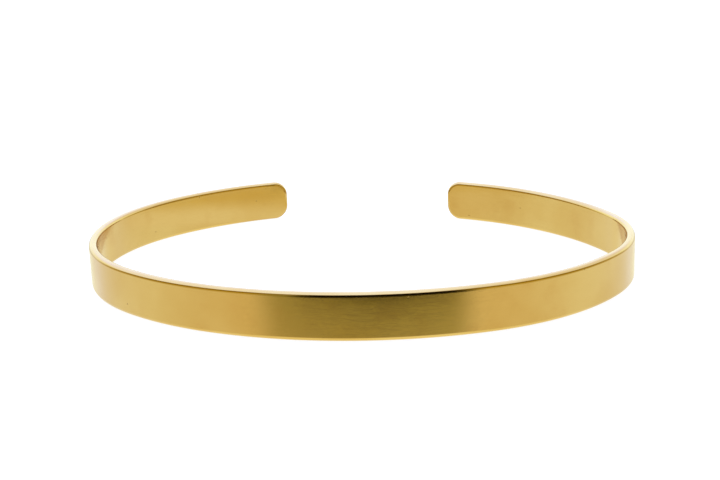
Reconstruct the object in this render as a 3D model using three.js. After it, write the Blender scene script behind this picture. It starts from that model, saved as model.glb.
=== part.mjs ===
// An open cuff bangle: one strip of polished gold-coloured metal, bent edge-upright into an oval that stays open
// at the back. Millimetres, +Z up. The bangle lies on its lower long edge at z = 0, with the middle of its
// footprint at the origin, its closed front towards -Y and its two rounded ends either side of the gap at +Y.

import * as THREE from 'three';

// The strip before it is bent
const STRIP_WIDTH = 5.0; // how tall the bangle stands
const STRIP_THICKNESS = 1.0;
const EDGE_RADIUS = 0.45; // rounding of every long edge and end
const CORNER_RADIUS = 1.8; // corners of the two ends, seen square to the strip

// The bends of the outer face, from the middle of the front round to each tip. They run on from one another
// without a kink. The two halves differ a little, because the strip is bent by hand.
const RIGHT_BENDS = [
  { name: 'front', radius: 40, sweepDegrees: 25 },
  { name: 'shoulder', radius: 26.5, sweepDegrees: 38 },
  { name: 'side', radius: 18, sweepDegrees: 55 },
  { name: 'back', radius: 33, sweepDegrees: 47 },
];
const LEFT_BENDS = [
  { name: 'front', radius: 40, sweepDegrees: 18 },
  { name: 'shoulder', radius: 34, sweepDegrees: 20 },
  { name: 'side', radius: 22.5, sweepDegrees: 90 },
  { name: 'back', radius: 31, sweepDegrees: 30.5 },
];

// How finely the curves are divided
const BEND_STEP_DEGREES = 3;
const CORNER_STEPS = 6;
const EDGE_STEPS = 3;

const GOLD = new THREE.MeshStandardMaterial({ color: 0xdcb068, metalness: 1, roughness: 0.08 });

const bendLength = (bend) => bend.radius * THREE.MathUtils.degToRad(bend.sweepDegrees);
const halfLength = (bends) => bends.reduce((sum, bend) => sum + bendLength(bend), 0);

// A point of the outer face, at a distance from the middle of the front along one half, with the direction the
// strip turns to there. A half is worked out towards +X, and the left one is mirrored afterwards.
function pointOnHalf(bends, distance) {
  const point = new THREE.Vector2(0, 0);
  let heading = 0;
  let left = distance;
  for (const bend of bends) {
    const turn = Math.min(left, bendLength(bend)) / bend.radius;
    point.x += bend.radius * (Math.sin(heading + turn) - Math.sin(heading));
    point.y += bend.radius * (Math.cos(heading) - Math.cos(heading + turn));
    heading += turn;
    left -= turn * bend.radius;
  }
  return { point, heading };
}

// Where a point of the flat strip goes once it is bent: along is measured from the middle of the front, towards
// +X, up from the strip's middle line, and depth from the outer face towards the wrist.
function bendPoint(along, up, depth) {
  const side = Math.sign(along) || 1;
  const { point, heading } = pointOnHalf(side > 0 ? RIGHT_BENDS : LEFT_BENDS, Math.abs(along));
  const x = point.x - depth * Math.sin(heading);
  const y = point.y + depth * Math.cos(heading);
  return new THREE.Vector3(side * x, y, STRIP_WIDTH / 2 + up);
}

// Distances along one half at which the strip is divided, leaving out its rounded corner
function stationsOfHalf(bends) {
  const cornerStart = halfLength(bends) - CORNER_RADIUS;
  const stations = [];
  let start = 0;
  for (const bend of bends) {
    const steps = Math.ceil(bend.sweepDegrees / BEND_STEP_DEGREES);
    for (let i = 0; i < steps; i++) {
      stations.push(start + (bendLength(bend) * i) / steps);
    }
    start += bendLength(bend);
  }
  const closest = bendLength(bends[0]) / Math.ceil(bends[0].sweepDegrees / BEND_STEP_DEGREES) / 2;
  return stations.filter((station) => station < cornerStart - closest);
}

// Half of the strip's outline at some inset from its edge, from the left end over the top to the right end. The
// other half is the same one upside down.
function upperOutline(inset) {
  const corner = CORNER_RADIUS - inset;
  const rise = STRIP_WIDTH / 2 - CORNER_RADIUS;
  const left = stationsOfHalf(LEFT_BENDS).slice(1).reverse().map((station) => -station);
  const right = stationsOfHalf(RIGHT_BENDS);
  const outline = [...left, ...right].map((along) => ({ along, up: STRIP_WIDTH / 2 - inset }));
  for (let i = 0; i <= CORNER_STEPS; i++) {
    const angle = (Math.PI / 2) * (i / CORNER_STEPS);
    const reach = corner * Math.sin(angle) - CORNER_RADIUS;
    const up = rise + corner * Math.cos(angle);
    outline.push({ along: halfLength(RIGHT_BENDS) + reach, up });
    outline.unshift({ along: -halfLength(LEFT_BENDS) - reach, up });
  }
  return outline;
}

// The edge's rounding as a row of insets and depths, from the outer face round to the inner one
function edgeRounding() {
  const rounding = [];
  for (let i = 0; i <= EDGE_STEPS; i++) {
    const angle = (Math.PI / 2) * (i / EDGE_STEPS);
    rounding.push({ inset: EDGE_RADIUS * (1 - Math.sin(angle)), depth: EDGE_RADIUS * (1 - Math.cos(angle)) });
  }
  const innerHalf = rounding.map(({ inset, depth }) => ({ inset, depth: STRIP_THICKNESS - depth })).reverse();
  return [...rounding, ...innerHalf];
}

// The bent strip: a loop round the whole outline for each step of the edge's rounding, joined to the next loop,
// and the two faces closed by rungs between the loop's upper and lower halves.
function bangleGeometry() {
  const positions = [];
  const loops = edgeRounding().map(({ inset, depth }) => {
    const upper = upperOutline(inset);
    const lower = upper.map(({ along, up }) => ({ along, up: -up })).reverse();
    return [...upper, ...lower].map(({ along, up }) => {
      positions.push(...bendPoint(along, up, depth).toArray());
      return positions.length / 3 - 1;
    });
  });
  const triangles = [];
  const addQuad = (a, b, c, d) => triangles.push(a, b, c, a, c, d);
  const count = loops[0].length;
  for (let i = 1; i < loops.length; i++) {
    for (let j = 0; j < count; j++) {
      const next = (j + 1) % count;
      addQuad(loops[i - 1][j], loops[i - 1][next], loops[i][next], loops[i][j]);
    }
  }
  const outer = loops[0];
  const inner = loops[loops.length - 1];
  for (let j = 0; j + 1 < count / 2; j++) {
    const below = count - 1 - j;
    addQuad(outer[j + 1], outer[j], outer[below], outer[below - 1]);
    addQuad(inner[j], inner[j + 1], inner[below - 1], inner[below]);
  }
  const geometry = new THREE.BufferGeometry();
  geometry.setAttribute('position', new THREE.Float32BufferAttribute(positions, 3));
  geometry.setIndex(triangles);
  geometry.computeBoundingBox();
  const middle = geometry.boundingBox.getCenter(new THREE.Vector3());
  geometry.translate(-middle.x, -middle.y, 0);
  geometry.computeVertexNormals();
  return geometry;
}

const bangle = new THREE.Mesh(bangleGeometry(), GOLD);
bangle.name = 'bangle';

const model = new THREE.Group();
model.add(bangle);

export default model;
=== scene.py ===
"""The looks of an open cuff bangle: one strip of mirror-polished gold-coloured metal, bent
edge-upright into an oval that stays open at the back.

The strip is made again as a fine mesh in the place of the CAD one, with the exact direction of
its surface at every point, because a mirror finish shows the smallest facet. Metres, +Z up.
"""

import math

import bpy
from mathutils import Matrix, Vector


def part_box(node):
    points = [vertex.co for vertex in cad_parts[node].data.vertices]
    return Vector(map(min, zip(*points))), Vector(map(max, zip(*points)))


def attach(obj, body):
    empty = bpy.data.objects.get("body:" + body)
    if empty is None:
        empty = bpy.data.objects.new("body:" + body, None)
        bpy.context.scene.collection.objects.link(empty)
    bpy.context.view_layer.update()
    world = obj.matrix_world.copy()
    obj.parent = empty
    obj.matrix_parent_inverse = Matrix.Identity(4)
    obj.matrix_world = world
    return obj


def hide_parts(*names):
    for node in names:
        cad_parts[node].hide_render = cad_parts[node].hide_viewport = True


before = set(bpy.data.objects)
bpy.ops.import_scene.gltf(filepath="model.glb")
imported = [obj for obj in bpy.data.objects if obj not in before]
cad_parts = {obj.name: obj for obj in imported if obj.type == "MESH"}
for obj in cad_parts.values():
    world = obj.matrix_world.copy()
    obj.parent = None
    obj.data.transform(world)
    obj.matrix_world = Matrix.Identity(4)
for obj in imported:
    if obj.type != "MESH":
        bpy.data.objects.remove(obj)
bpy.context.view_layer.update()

MM = 0.001
LOW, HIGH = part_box("bangle")
MIDDLE = (LOW + HIGH) / 2


# ---------------------------------------------------------------- sizes of the strip


# As in the CAD model
STRIP_WIDTH = HIGH.z - LOW.z
STRIP_THICKNESS = 1.0 * MM
EDGE_RADIUS = 0.45 * MM
CORNER_RADIUS = 1.8 * MM
# Radius, and sweep in degrees, of each bend of the outer face, from the middle of the front
# round to the tip
RIGHT_BENDS = [(40 * MM, 25), (26.5 * MM, 38), (18 * MM, 55), (33 * MM, 47)]
LEFT_BENDS = [(40 * MM, 18), (34 * MM, 20), (22.5 * MM, 90), (31 * MM, 30.5)]

# How finely its curves are divided
BEND_STEP_DEGREES = 1
CORNER_STEPS = 16
EDGE_STEPS = 12

# The map of the surface laid flat, in metres: along the strip, and round its section
FLAT_MAP = "strip"


# ---------------------------------------------------------------- finish of the metal


# Two shades of gold, and the levels of the clouds between which one turns into the other
DEEP_GOLD = (0.625, 0.395, 0.097)
PALE_GOLD = (0.665, 0.44, 0.122)
CLOUD_SIZE = 9 * MM
CLOUD_LEVELS = (0.35, 0.65)

# The waves and the grain that the polish leaves. The roughness follows the grain.
WAVE_SIZE = 5 * MM
WAVE_HEIGHT = 0.0024 * MM
GRAIN_SIZE = 0.35 * MM
GRAIN_HEIGHT = 0.0003 * MM
GRAIN_LEVELS = (0.3, 0.7)
POLISHED_ROUGHNESS = (0.06, 0.10)

# Smudges: how strongly they take their colour, and what they add to the roughness
SMUDGE_SIZE = 4 * MM
SMUDGE_LEVELS = (0.52, 0.72)
SMUDGE_COLOUR = (0.60, 0.35, 0.08)
SMUDGE_TINT = 0.35
SMUDGE_ROUGHNESS = 0.05

# Pits: how far apart the places for one are, and the share of the places that have one
PIT_SPACING = 4 * MM
PIT_SHARE = 0.16
PIT_RADIUS = 0.12 * MM
PIT_DEPTH = 0.006 * MM
PIT_COLOUR = (0.28, 0.17, 0.05)
PIT_TINT = 0.6
PIT_ROUGHNESS = 0.30

# Sets of hairline scratches: angle to the strip in degrees, length, width, and amount. A
# scratch fades in where the set's pattern goes through SCRATCH_LEVELS less the amount.
SCRATCH_SETS = [
    (3, 6 * MM, 0.05 * MM, 0.10),
    (-8, 4 * MM, 0.04 * MM, 0.08),
    (24, 3 * MM, 0.04 * MM, 0.07),
    (-52, 2 * MM, 0.04 * MM, 0.06),
    (81, 1.5 * MM, 0.04 * MM, 0.06),
]
SCRATCH_LEVELS = (0.80, 0.88)
SCRATCH_DEPTH = 0.0004 * MM
SCRATCH_ROUGHNESS = 0.10


# ---------------------------------------------------------------- camera and studio


# The camera looks at a point given from the middle of the bangle's footprint. Its angles are
# in degrees, and its lens and sensor in millimetres.
CAMERA_AZIMUTH = 8.955
CAMERA_ELEVATION = 15.578
CAMERA_ROLL = 2.113
CAMERA_DISTANCE = 150.094 * MM
CAMERA_LENS = 63.24
CAMERA_SENSOR = 36
CAMERA_NEAREST = 0.01
CAMERA_FURTHEST = 20.0
CAMERA_TARGET = Vector((-0.319 * MM, 3.564 * MM, 2.559 * MM))

# The tent round the bangle, which its metal mirrors, as brightness in red, green and blue
FLOOR_LIGHT_IN_FRONT = (0.96, 0.92, 0.82)
FLOOR_LIGHT_AT_SIDES = (1.07, 1.16, 1.34)
FLOOR_LIGHT_BEHIND = (1.07, 1.11, 0.95)
FLOOR_LIGHT_BELOW = (1.20, 1.28, 1.30)
SILL_LIGHT = (0.76, 0.71, 0.52)
WALL_LIGHT = (0.92, 0.78, 0.30)
GAP_LIGHT = (0.40, 0.30, 0.0)
SKY_LIGHT = (1.36, 1.64, 1.95)
SOFTBOX_LIGHT = (1.36, 1.72, 3.90)
SOFTBOX_LIGHT_AT_RIGHT = (1.16, 1.30, 2.10)

# Where each light starts to show and where it is full. As the cosine of the level angle from
# the camera's side:
AT_SIDES = (0.85, -0.10)
BEHIND = (-0.70, -0.90)
# As the cosine of the angle from the camera's right:
AT_RIGHT = (0.0, 0.7)
# As the tangent of the angle above the level:
BELOW = (-0.45, -1.2)
SILL_HEIGHTS = (-0.22, -0.15)
WALL_HEIGHTS = (0.0, 0.14)
SOFTBOX_HEIGHTS = (0.20, 0.55)

# The dark gap between the wall and what is overhead. The height of each of its edges is a
# height at the sides plus a rise towards the front, and never less than a lowest height.
GAP_BOTTOM = (0.055, 0.307, 0.087)
GAP_TOP = (0.58, 0.95, -0.035)
GAP_SOFTNESS = 0.4

# The plain white straight behind the bangle
BACKGROUND_BRIGHTNESS = 1.05

# The tent's open side, on a card that stands upright in the camera's place. Its patches are
# given across, from the camera, and up, from the floor, as where they fade in and fade out.
OPENING_WIDTH = 400 * MM
OPENING_HEIGHT = 500 * MM
# The dim floor in front, near the bangle and far from it, and a dim rim round the dark room
DIM_ACROSS = ((-135 * MM, -82 * MM), (57 * MM, 91 * MM))
DIM_UP = ((-81 * MM, -38 * MM), (140 * MM, 170 * MM))
DIM_LIGHT_NEAR = (0.49, 0.48, 0.28)
DIM_LIGHT_FAR = (0.38, 0.365, 0.18)
NEAR_TO_FAR_UP = (-42 * MM, -34.5 * MM)
# The dark room above it, a little lighter along its horizon
DARK_ACROSS = ((-84 * MM, -60 * MM), (66 * MM, 88 * MM))
DARK_UP = ((-35.1 * MM, -33.4 * MM), (130 * MM, 150 * MM))
DARK_LIGHT = (0.006, 0.004, 0.001)
HORIZON_UP = ((-15 * MM, -8 * MM), (4 * MM, 11 * MM))
HORIZON_LIGHT = (0.12, 0.10, 0.05)

# The lit floor inside the bangle by its left end, given from the middle of the footprint. It
# lies just under the floor.
BRIGHT_FLOOR_X = (-21 * MM, 0)
BRIGHT_FLOOR_Y = (-2 * MM, 26 * MM)
BRIGHT_FLOOR_DEPTH = 0.3 * MM
BRIGHT_FLOOR_SOFTNESS = 4 * MM
BRIGHT_FLOOR_LIGHT_AT_LEFT = (1.07, 1.13, 1.28)
BRIGHT_FLOOR_LIGHT = (0.91, 0.84, 0.54)
# Where along X the one light turns into the other
BRIGHT_FLOOR_FROM_LEFT = (-14 * MM, -5 * MM)

# The floor, from the middle to each side. It glows enough to show hardly any shadow.
FLOOR_REACH = 3.0
FLOOR_GREY = 0.25
FLOOR_GLOW = 0.88


# ---------------------------------------------------------------- the strip


def bend_length(bend):
    radius, sweep = bend
    return radius * math.radians(sweep)


def half_length(bends):
    return sum(bend_length(bend) for bend in bends)


def point_on_half(bends, distance):
    """The outer face at a distance from the middle of the front along one half, worked out
    towards +X: its x and y, the direction the strip turns to there, and the bend's radius."""
    x = y = heading = 0.0
    remaining = distance
    radius = bends[0][0]
    for bend in bends:
        if remaining <= 0:
            break
        radius = bend[0]
        turn = min(remaining, bend_length(bend)) / radius
        x += radius * (math.sin(heading + turn) - math.sin(heading))
        y += radius * (math.cos(heading) - math.cos(heading + turn))
        heading += turn
        remaining -= turn * radius
    return x, y, heading, radius


def bend_point(along, up, depth, facing):
    """Where a point of the flat strip goes once it is bent, and which way its surface faces
    there. facing is its direction on the flat strip: along it, up it, and out of its outer
    face."""
    side = math.copysign(1.0, along)
    bends = RIGHT_BENDS if side > 0 else LEFT_BENDS
    x, y, heading, radius = point_on_half(bends, abs(along))
    tangent = Vector((math.cos(heading), side * math.sin(heading), 0))
    outward = Vector((side * math.sin(heading), -math.cos(heading), 0))
    place = Vector((side * x, y, STRIP_WIDTH / 2 + up)) - depth * outward
    stretch = 1 - depth / radius
    normal = tangent * (facing[0] / stretch) + Vector((0, 0, facing[1])) + outward * facing[2]
    return place, normal.normalized()


def stations_of_half(bends):
    """Distances along one half at which the strip is divided, up to its rounded corner and no
    closer to that than half a step."""
    stations = []
    start = 0.0
    for bend in bends:
        steps = math.ceil(bend[1] / BEND_STEP_DEGREES)
        stations += [start + bend_length(bend) * i / steps for i in range(steps)]
        start += bend_length(bend)
    last = half_length(bends) - CORNER_RADIUS
    closest = math.radians(BEND_STEP_DEGREES) * bends[-1][0] / 2
    return [station for station in stations if station < last - closest]


def upper_outline(inset):
    """The upper half of the strip's outline at some inset from its edge, from the left end to
    the right one, as rows of along, up, and the direction that the outline faces."""
    corner = CORNER_RADIUS - inset
    rise = STRIP_WIDTH / 2 - CORNER_RADIUS
    left = [-station for station in reversed(stations_of_half(LEFT_BENDS)[1:])]
    right = stations_of_half(RIGHT_BENDS)
    outline = [(along, STRIP_WIDTH / 2 - inset, 0.0, 1.0) for along in left + right]
    for i in range(CORNER_STEPS + 1):
        angle = math.pi / 2 * i / CORNER_STEPS
        sine, cosine = math.sin(angle), math.cos(angle)
        reach = corner * sine - CORNER_RADIUS
        up = rise + corner * cosine
        outline.append((half_length(RIGHT_BENDS) + reach, up, sine, cosine))
        outline.insert(0, (-half_length(LEFT_BENDS) - reach, up, -sine, cosine))
    return outline


def whole_outline(inset):
    """The strip's outline at some inset, over the top and back along the bottom."""
    upper = upper_outline(inset)
    lower = [(along, -up, aim_along, -aim_up) for along, up, aim_along, aim_up in upper]
    return upper + lower[::-1]


def edge_rounding():
    """The rounding of the edge, from the outer face round to the inner one, as rows of inset,
    depth, how far the surface faces the edge, and how far it faces out."""
    outer = []
    for i in range(EDGE_STEPS + 1):
        angle = math.pi / 2 * i / EDGE_STEPS
        sine, cosine = math.sin(angle), math.cos(angle)
        outer.append((EDGE_RADIUS * (1 - sine), EDGE_RADIUS * (1 - cosine), sine, cosine))
    inner = [
        (inset, STRIP_THICKNESS - depth, edgeward, -outward)
        for inset, depth, edgeward, outward in reversed(outer)
    ]
    return outer + inner


def strip_points():
    """The strip's places, the directions its surface faces there, and the same points on the
    flat map, as one loop round the strip after another."""
    places = []
    normals = []
    flat_places = []
    for inset, depth, edgeward, outward in edge_rounding():
        for along, up, aim_along, aim_up in whole_outline(inset):
            facing = (aim_along * edgeward, aim_up * edgeward, outward)
            place, normal = bend_point(along, up, depth, facing)
            places.append(place)
            normals.append(normal)
            flat_places.append((along, up + math.copysign(depth, up)))
    return places, normals, flat_places


def strip_faces():
    """Bands round the edge from each loop to the next, and rungs from the top to the bottom of
    the first and the last loop, which close the outer and the inner face."""
    count = len(whole_outline(0.0))
    loops = [range(i * count, (i + 1) * count) for i in range(len(edge_rounding()))]
    faces = []
    for first, second in zip(loops, loops[1:]):
        for j in range(count):
            following = (j + 1) % count
            faces.append((first[j], first[following], second[following], second[j]))
    outer, inner = loops[0], loops[-1]
    for j in range(count // 2 - 1):
        below = count - 1 - j
        faces.append((outer[j + 1], outer[j], outer[below], outer[below - 1]))
        faces.append((inner[j], inner[j + 1], inner[below - 1], inner[below]))
    return faces


def shift_to_middle(places):
    """What brings the strip's middle to the CAD one's, and its lower edge to the floor."""
    shift = []
    for axis in range(2):
        lowest = min(place[axis] for place in places)
        highest = max(place[axis] for place in places)
        shift.append(MIDDLE[axis] - (lowest + highest) / 2)
    return Vector((*shift, LOW.z))


def strip_mesh(name):
    places, normals, flat_places = strip_points()
    shift = shift_to_middle(places)
    mesh = bpy.data.meshes.new(name)
    mesh.from_pydata([place + shift for place in places], [], strip_faces())
    mesh.validate()
    mesh.shade_smooth()
    flat_map = mesh.uv_layers.new(name=FLAT_MAP)
    for corner in mesh.loops:
        flat_map.data[corner.index].uv = flat_places[corner.vertex_index]
    mesh.normals_split_custom_set_from_vertices(normals)
    return mesh


# ---------------------------------------------------------------- node helpers


def set_inputs(tree, node, **inputs):
    """Sets each input to a value, or links it to an output. An input goes by its own name with
    _ for a space, or by i and its number."""
    for key, value in inputs.items():
        by_number = key[0] == "i" and key[1:].isdigit()
        socket = node.inputs[int(key[1:]) if by_number else key.replace("_", " ")]
        if isinstance(value, bpy.types.NodeSocket):
            tree.links.new(value, socket)
        else:
            socket.default_value = value


def add_node(tree, kind, settings=None, **inputs):
    node = tree.nodes.new(kind)
    for key, value in (settings or {}).items():
        setattr(node, key, value)
    set_inputs(tree, node, **inputs)
    return node


def math_node(tree, operation, *values):
    inputs = {f"i{i}": value for i, value in enumerate(values)}
    return add_node(tree, "ShaderNodeMath", {"operation": operation}, **inputs).outputs[0]


def vector_math(tree, operation, first, second):
    settings = {"operation": operation}
    return add_node(tree, "ShaderNodeVectorMath", settings, i0=first, i1=second).outputs


def dot_product(tree, first, second):
    return vector_math(tree, "DOT_PRODUCT", first, second)["Value"]


def smooth_band(tree, value, low, high):
    """0 before low, 1 past high, and smooth between them."""
    settings = {"interpolation_type": "SMOOTHSTEP"}
    inputs = {"Value": value, "From_Min": low, "From_Max": high}
    return add_node(tree, "ShaderNodeMapRange", settings, **inputs).outputs["Result"]


def band_between(tree, value, start, end):
    """0 outside, 1 inside, rising over start and falling over end."""
    falling = math_node(tree, "SUBTRACT", 1.0, smooth_band(tree, value, *end))
    return math_node(tree, "MULTIPLY", smooth_band(tree, value, *start), falling)


def patch_between(tree, first, first_bands, second, second_bands):
    """0 outside a soft-edged rectangle, and 1 inside."""
    first_inside = band_between(tree, first, *first_bands)
    second_inside = band_between(tree, second, *second_bands)
    return math_node(tree, "MULTIPLY", first_inside, second_inside)


def mixed(tree, factor, first, second):
    """A number that goes from first to second."""
    settings = {"data_type": "FLOAT"}
    return add_node(tree, "ShaderNodeMix", settings, i0=factor, i2=first, i3=second).outputs[0]


def mixed_colour(tree, factor, first, second):
    """A colour that goes from first to second, each red, green and blue, or an output."""
    ends = []
    for end in (first, second):
        ends.append(end if isinstance(end, bpy.types.NodeSocket) else (*end, 1))
    settings = {"data_type": "RGBA"}
    return add_node(tree, "ShaderNodeMix", settings, i0=factor, i6=ends[0], i7=ends[1]).outputs[2]


def mixed_shader(tree, factor, first, second):
    return add_node(tree, "ShaderNodeMixShader", i0=factor, i1=first, i2=second).outputs[0]


def new_material(name):
    material = bpy.data.materials.new(name)
    material.use_nodes = True
    return material


# ---------------------------------------------------------------- the metal


def noise(tree, place, size, detail=2.0):
    """Cloudy variation round 0.5, whose clouds are about as large as size."""
    inputs = {"Vector": place, "Scale": 1 / size, "Detail": detail}
    return add_node(tree, "ShaderNodeTexNoise", **inputs).outputs["Fac"]


def hairlines(tree, flat_place, turn, length, width, amount):
    """Thin straight scratches at an angle to the strip: 1 in the scratch, 0 beside it. They
    are a noise drawn out at that angle, and each set starts at another place of the noise."""
    streaks = add_node(
        tree,
        "ShaderNodeMapping",
        {"vector_type": "TEXTURE"},
        Vector=flat_place,
        Location=(length * turn / 10, 0, 0),
        Rotation=(0, 0, math.radians(turn)),
        Scale=(length, width, 1),
    ).outputs["Vector"]
    pattern = add_node(
        tree,
        "ShaderNodeTexNoise",
        {"noise_dimensions": "2D"},
        Vector=streaks,
        Scale=1.0,
        Detail=0.0,
    ).outputs["Fac"]
    low, high = SCRATCH_LEVELS
    return smooth_band(tree, pattern, low - amount, high - amount)


def scattered_pits(tree, flat_place):
    """Tiny pits in some of the cells of a loose pattern: 1 in the pit, 0 beside it."""
    cells = add_node(
        tree,
        "ShaderNodeTexVoronoi",
        {"voronoi_dimensions": "2D"},
        Vector=flat_place,
        Scale=1 / PIT_SPACING,
    ).outputs
    radius = PIT_RADIUS / PIT_SPACING
    beside = smooth_band(tree, cells["Distance"], radius / 2, radius)
    draw = add_node(tree, "ShaderNodeSeparateColor", Color=cells["Color"]).outputs[0]
    chosen = math_node(tree, "LESS_THAN", draw, PIT_SHARE)
    return math_node(tree, "MULTIPLY", chosen, math_node(tree, "SUBTRACT", 1.0, beside))


def all_scratches(tree, flat_place):
    scratches = 0.0
    for scratch_set in SCRATCH_SETS:
        more = hairlines(tree, flat_place, *scratch_set)
        scratches = math_node(tree, "MAXIMUM", scratches, more)
    return scratches


def tinted(tree, colour, marks, strength, mark_colour):
    """The colour with marks in it that take a colour of their own, up to a strength."""
    return mixed_colour(tree, math_node(tree, "MULTIPLY", marks, strength), colour, mark_colour)


def built_up(tree, start, *layers):
    """A start value and, for each layer, its pattern times its amount on top."""
    total = start
    for pattern, amount in layers:
        total = math_node(tree, "MULTIPLY_ADD", pattern, amount, total)
    return total


def polished_gold():
    """Gold-coloured metal polished to a mirror and worn a little: the polish leaves it faintly
    wavy, with hairline scratches mostly along the strip, a few pits, and smudges that dull
    it."""
    material = new_material("polished_gold")
    tree = material.node_tree
    place = add_node(tree, "ShaderNodeTexCoord").outputs["Object"]
    flat_place = add_node(tree, "ShaderNodeUVMap", {"uv_map": FLAT_MAP}).outputs["UV"]
    clouds = smooth_band(tree, noise(tree, place, CLOUD_SIZE, detail=3.0), *CLOUD_LEVELS)
    smudges = smooth_band(tree, noise(tree, place, SMUDGE_SIZE, detail=4.0), *SMUDGE_LEVELS)
    waves = noise(tree, place, WAVE_SIZE, detail=1.0)
    grain = noise(tree, place, GRAIN_SIZE)
    pits = scattered_pits(tree, flat_place)
    scratches = all_scratches(tree, flat_place)

    colour = mixed_colour(tree, clouds, DEEP_GOLD, PALE_GOLD)
    colour = tinted(tree, colour, smudges, SMUDGE_TINT, SMUDGE_COLOUR)
    colour = tinted(tree, colour, pits, PIT_TINT, PIT_COLOUR)
    polish = mixed(tree, smooth_band(tree, grain, *GRAIN_LEVELS), *POLISHED_ROUGHNESS)
    dulled = [(smudges, SMUDGE_ROUGHNESS), (scratches, SCRATCH_ROUGHNESS), (pits, PIT_ROUGHNESS)]
    raised = [(waves, WAVE_HEIGHT), (grain, GRAIN_HEIGHT)]
    sunk = [(scratches, -SCRATCH_DEPTH), (pits, -PIT_DEPTH)]
    height = built_up(tree, 0.0, *raised, *sunk)
    bump = add_node(tree, "ShaderNodeBump", Strength=1.0, Distance=1.0, Height=height)
    set_inputs(
        tree,
        tree.nodes["Principled BSDF"],
        Base_Color=colour,
        Metallic=1.0,
        Roughness=built_up(tree, polish, *dulled),
        Normal=bump.outputs["Normal"],
    )
    return material


# ---------------------------------------------------------------- the camera


def camera_directions():
    """The camera's level directions to its right and ahead, and the direction it looks in."""
    azimuth = math.radians(CAMERA_AZIMUTH)
    elevation = math.radians(CAMERA_ELEVATION)
    right = Vector((math.cos(azimuth), math.sin(azimuth), 0))
    ahead = Vector((-math.sin(azimuth), math.cos(azimuth), 0))
    forward = ahead * math.cos(elevation) - Vector((0, 0, math.sin(elevation)))
    return right, ahead, forward


def camera_place():
    return CAMERA_TARGET - camera_directions()[2] * CAMERA_DISTANCE


def add_camera():
    right, _, forward = camera_directions()
    up = right.cross(forward)
    roll = math.radians(CAMERA_ROLL)
    camera_right = right * math.cos(roll) - up * math.sin(roll)
    camera_up = up * math.cos(roll) + right * math.sin(roll)
    data = bpy.data.cameras.new("camera")
    data.lens = CAMERA_LENS
    data.sensor_width = CAMERA_SENSOR
    data.clip_start = CAMERA_NEAREST
    data.clip_end = CAMERA_FURTHEST
    camera = bpy.data.objects.new("camera", data)
    matrix = camera.matrix_world.copy()
    for column, vector in enumerate((camera_right, camera_up, -forward, camera_place())):
        for row in range(3):
            matrix[row][column] = vector[row]
    camera.matrix_world = matrix
    bpy.context.scene.collection.objects.link(camera)
    bpy.context.scene.camera = camera


# ---------------------------------------------------------------- the studio


def above_gap_edge(tree, height, facing, edge):
    """0 below an edge of the dark gap, 1 above it, and smooth across it."""
    at_side, rise_in_front, lowest = edge
    rising = math_node(tree, "MULTIPLY_ADD", facing, rise_in_front, at_side)
    middle = math_node(tree, "MAXIMUM", rising, lowest)
    low = math_node(tree, "SUBTRACT", middle, GAP_SOFTNESS / 2)
    high = math_node(tree, "ADD", middle, GAP_SOFTNESS / 2)
    return smooth_band(tree, height, low, high)


def tent_light(tree):
    """The light from each direction: the floor's, then upwards the sill's, the wall's, the dark
    gap's, and that of the sky and the softbox in it."""
    right, ahead, _ = camera_directions()
    direction = add_node(tree, "ShaderNodeTexCoord").outputs["Generated"]
    up = add_node(tree, "ShaderNodeSeparateXYZ", Vector=direction).outputs["Z"]
    up_squared = math_node(tree, "MULTIPLY", up, up)
    level_part = math_node(tree, "SQRT", math_node(tree, "SUBTRACT", 1.0, up_squared))
    height = math_node(tree, "DIVIDE", up, level_part)
    facing = math_node(tree, "DIVIDE", dot_product(tree, direction, -ahead), level_part)
    to_right = dot_product(tree, direction, right)

    at_sides = smooth_band(tree, facing, *AT_SIDES)
    light = mixed_colour(tree, at_sides, FLOOR_LIGHT_IN_FRONT, FLOOR_LIGHT_AT_SIDES)
    light = mixed_colour(tree, smooth_band(tree, facing, *BEHIND), light, FLOOR_LIGHT_BEHIND)
    light = mixed_colour(tree, smooth_band(tree, height, *BELOW), light, FLOOR_LIGHT_BELOW)
    light = mixed_colour(tree, smooth_band(tree, height, *SILL_HEIGHTS), light, SILL_LIGHT)
    light = mixed_colour(tree, smooth_band(tree, height, *WALL_HEIGHTS), light, WALL_LIGHT)
    above_bottom = above_gap_edge(tree, height, facing, GAP_BOTTOM)
    light = mixed_colour(tree, above_bottom, light, GAP_LIGHT)

    at_right = smooth_band(tree, to_right, *AT_RIGHT)
    softbox = mixed_colour(tree, at_right, SOFTBOX_LIGHT, SOFTBOX_LIGHT_AT_RIGHT)
    in_softbox = smooth_band(tree, height, *SOFTBOX_HEIGHTS)
    overhead = mixed_colour(tree, in_softbox, SKY_LIGHT, softbox)
    return mixed_colour(tree, above_gap_edge(tree, height, facing, GAP_TOP), light, overhead)


def studio_world():
    """A white tent round the bangle. Straight into the camera it is plain white."""
    world = bpy.data.worlds.new("studio")
    world.use_nodes = True
    tree = world.node_tree
    tree.nodes.clear()
    white = (1, 1, 1, 1)
    tent = add_node(tree, "ShaderNodeBackground", Color=tent_light(tree))
    plain = add_node(tree, "ShaderNodeBackground", Color=white, Strength=BACKGROUND_BRIGHTNESS)
    straight = add_node(tree, "ShaderNodeLightPath").outputs["Is Camera Ray"]
    shown = mixed_shader(tree, straight, tent.outputs[0], plain.outputs[0])
    add_node(tree, "ShaderNodeOutputWorld", Surface=shown)
    bpy.context.scene.world = world


def flat_shape(name, corners, material):
    mesh = bpy.data.meshes.new(name)
    mesh.from_pydata(corners, [], [(0, 1, 2, 3)])
    mesh.materials.append(material)
    shape = bpy.data.objects.new(name, mesh)
    bpy.context.scene.collection.objects.link(shape)
    return shape


def level_corners(left, right, front, back, height):
    return [
        (left, front, height),
        (right, front, height),
        (right, back, height),
        (left, back, height),
    ]


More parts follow.
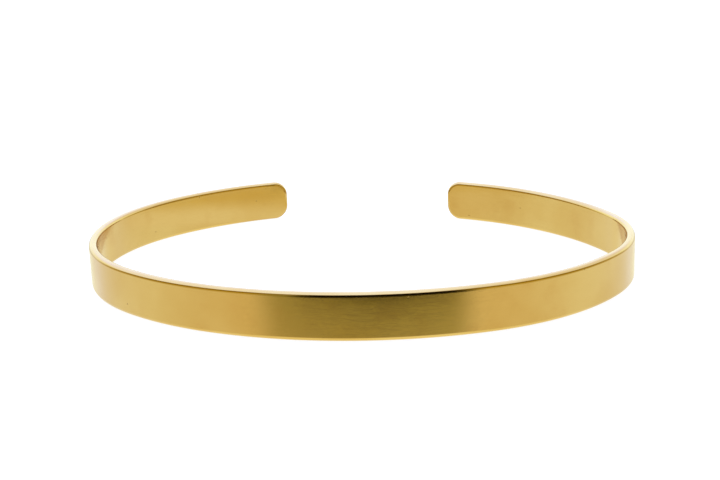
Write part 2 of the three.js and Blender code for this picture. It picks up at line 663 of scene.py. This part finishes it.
def show_only_mirrored(shape):
    shape.visible_camera = False
    shape.visible_diffuse = False
    shape.visible_shadow = False


def clear(tree):
    return add_node(tree, "ShaderNodeBsdfTransparent").outputs[0]


def glow(tree, colour):
    return add_node(tree, "ShaderNodeEmission", Color=colour, Strength=1.0).outputs[0]


def opening_light():
    """Clear but for the dim floor in front, and over it the dark room."""
    right = camera_directions()[0]
    material = new_material("tent_opening")
    tree = material.node_tree
    tree.nodes.clear()
    place = add_node(tree, "ShaderNodeTexCoord").outputs["Object"]
    offset = vector_math(tree, "SUBTRACT", place, camera_place())["Vector"]
    across = dot_product(tree, offset, right)
    up = add_node(tree, "ShaderNodeSeparateXYZ", Vector=place).outputs["Z"]

    near_to_far = smooth_band(tree, up, *NEAR_TO_FAR_UP)
    dim_light = mixed_colour(tree, near_to_far, DIM_LIGHT_NEAR, DIM_LIGHT_FAR)
    horizon = band_between(tree, up, *HORIZON_UP)
    dark_light = mixed_colour(tree, horizon, DARK_LIGHT, HORIZON_LIGHT)
    dim = patch_between(tree, across, DIM_ACROSS, up, DIM_UP)
    dark = patch_between(tree, across, DARK_ACROSS, up, DARK_UP)
    shown = mixed_shader(tree, dim, clear(tree), glow(tree, dim_light))
    shown = mixed_shader(tree, dark, shown, glow(tree, dark_light))
    add_node(tree, "ShaderNodeOutputMaterial", Surface=shown)
    return material


def dark_opening():
    """The tent's open side round the camera. The front of the bangle mirrors it as a dim
    stretch with a black line."""
    right = camera_directions()[0]
    corners = []
    for across, up in ((-1, -1), (1, -1), (1, 1), (-1, 1)):
        sideways = right * (across * OPENING_WIDTH / 2)
        upwards = Vector((0, 0, up * OPENING_HEIGHT / 2))
        corners.append(camera_place() + sideways + upwards)
    opening = flat_shape("tent_opening", corners, opening_light())
    show_only_mirrored(opening)


def bright_floor_light():
    """Clear but for a soft-edged patch, brighter and cooler at its left."""
    material = new_material("bright_floor")
    tree = material.node_tree
    tree.nodes.clear()
    place = add_node(tree, "ShaderNodeTexCoord").outputs["Object"]
    axes = add_node(tree, "ShaderNodeSeparateXYZ", Vector=place).outputs
    (left, right), (front, back) = BRIGHT_FLOOR_X, BRIGHT_FLOOR_Y
    soft = BRIGHT_FLOOR_SOFTNESS
    x_bands = ((left, left + soft), (right - soft, right))
    y_bands = ((front, front + soft), (back - soft / 2, back))
    inside = patch_between(tree, axes["X"], x_bands, axes["Y"], y_bands)
    from_left = smooth_band(tree, axes["X"], *BRIGHT_FLOOR_FROM_LEFT)
    light = mixed_colour(tree, from_left, BRIGHT_FLOOR_LIGHT_AT_LEFT, BRIGHT_FLOOR_LIGHT)
    shown = mixed_shader(tree, inside, clear(tree), glow(tree, light))
    add_node(tree, "ShaderNodeOutputMaterial", Surface=shown)
    return material


def bright_floor():
    """The lit floor inside the bangle by its left end, which that end mirrors in place of the
    dim floor in front."""
    corners = level_corners(*BRIGHT_FLOOR_X, *BRIGHT_FLOOR_Y, -BRIGHT_FLOOR_DEPTH)
    patch = flat_shape("bright_floor", corners, bright_floor_light())
    show_only_mirrored(patch)


def white_floor():
    """A matt grey that its own glow makes white."""
    material = new_material("white_floor")
    tree = material.node_tree
    set_inputs(
        tree,
        tree.nodes["Principled BSDF"],
        Base_Color=(FLOOR_GREY, FLOOR_GREY, FLOOR_GREY, 1),
        Roughness=1.0,
        Specular_IOR_Level=0.0,
        Emission_Color=(1, 1, 1, 1),
        Emission_Strength=FLOOR_GLOW,
    )
    return material


def floor():
    """A plain white surface. The metal mirrors the tent's lower half in its place."""
    corners = level_corners(-FLOOR_REACH, FLOOR_REACH, -FLOOR_REACH, FLOOR_REACH, 0)
    surface = flat_shape("floor", corners, white_floor())
    surface.visible_glossy = False


# ---------------------------------------------------------------- the scene


add_camera()
studio_world()
dark_opening()
bright_floor()
floor()

bangle = bpy.data.objects.new("cuff_strip", strip_mesh("cuff_strip"))
bangle.data.materials.append(polished_gold())
bpy.context.scene.collection.objects.link(bangle)
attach(bangle, "root")
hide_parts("bangle")

bpy.context.scene.view_settings.view_transform = "Standard"
